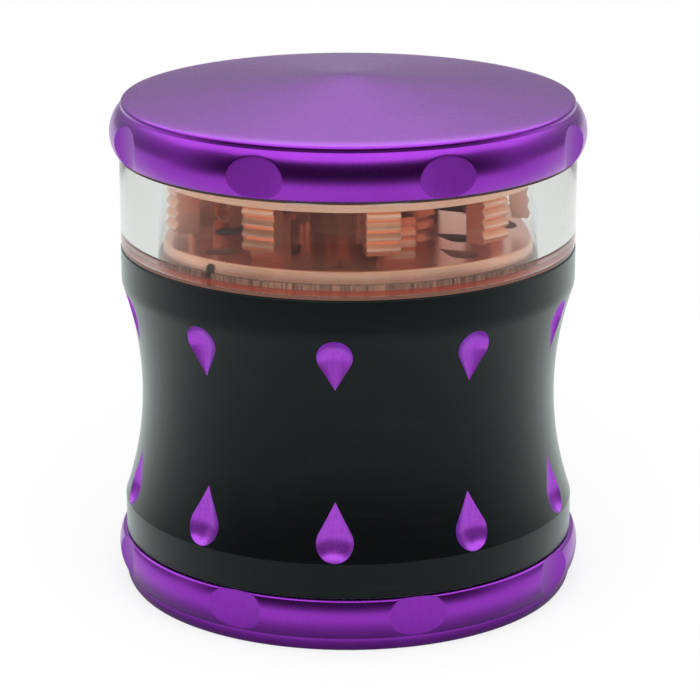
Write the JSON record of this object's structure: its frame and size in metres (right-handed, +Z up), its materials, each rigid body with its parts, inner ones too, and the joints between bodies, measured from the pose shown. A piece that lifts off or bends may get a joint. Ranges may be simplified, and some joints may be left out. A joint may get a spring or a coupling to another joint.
{
  "type": "herb grinder",
  "caption": "Round metal herb grinder: shallow cone lid with hanging teeth, clear window ring round a toothed plate, waisted sieve chamber with drop hollows and a screw-on base cup.",
  "frame": {"origin": "centre of the base cup's underside, on the turning axis", "axes": "+Z up along the turning axis, -Y towards the picture's camera, +X to its right"},
  "size_m": [0.0632, 0.0632, 0.0695],
  "materials": {
    "purple_anodised": "satin purple anodised, lathe turned",
    "black_anodised": "matte black anodised",
    "copper_anodised": "copper coloured, turned",
    "clear_acrylic": "clear polished acrylic",
    "black_rubber": "matte",
    "brown_rubber": "matte brown",
    "sieve_steel": "brushed",
    "magnet_nickel": "nickel plated",
    "glide_nylon": "matte black nylon"
  },
  "bodies": {
    "base": {"base_cup": "purple_anodised"},
    "base_seal_ring": {"base_seal": "black_rubber"},
    "chamber": {"chamber_body": "black_anodised", "sieve_rim": "sieve_steel", "sieve_mesh": "sieve_steel", "sieve_snap_ring": "sieve_steel"},
    "plate_seal_ring": {"plate_seal": "black_rubber"},
    "plate": {"grinding_plate": "copper_anodised", "plate_magnet": "magnet_nickel", "window_ring": "clear_acrylic", "window_gasket": "brown_rubber", "window_key": "sieve_steel"},
    "glide_ring": {"lid_glide_ring": "glide_nylon"},
    "lid": {"lid_cap": "purple_anodised", "lid_tooth_disc": "copper_anodised", "tooth_disc_screws": "sieve_steel", "lid_magnet": "magnet_nickel"}
  },
  "joints": [
    {"name": "chamber_turn", "type": "hinge", "parent": "base", "child": "base_seal_ring", "pos_m": [0, 0, 0], "axis": [0, 0, 1], "range_deg": [0, 1170]},
    {"name": "chamber_lift", "type": "slide", "parent": "base_seal_ring", "child": "chamber", "axis": [0, 0, 1], "range_m": [0, 0.0049]},
    {"name": "plate_lift", "type": "slide", "parent": "chamber", "child": "plate_seal_ring", "axis": [0, 0, 1], "range_m": [0, 0.0049]},
    {"name": "plate_turn", "type": "hinge", "parent": "plate_seal_ring", "child": "plate", "pos_m": [0, 0, 0], "axis": [0, 0, 1], "range_deg": [0, 1170]},
    {"name": "lid_lift", "type": "slide", "parent": "plate", "child": "glide_ring", "axis": [0, 0, 1], "range_m": [0, 0.015]},
    {"name": "lid_spin", "type": "hinge", "parent": "glide_ring", "child": "lid", "pos_m": [0, 0, 0], "axis": [0, 0, 1], "continuous": true}
  ],
  "couplings": [
    {"joint": "chamber_lift", "follows": "chamber_turn", "m_per_rad": 0.00023873},
    {"joint": "plate_lift", "follows": "plate_turn", "m_per_rad": 0.00023873}
  ]
}
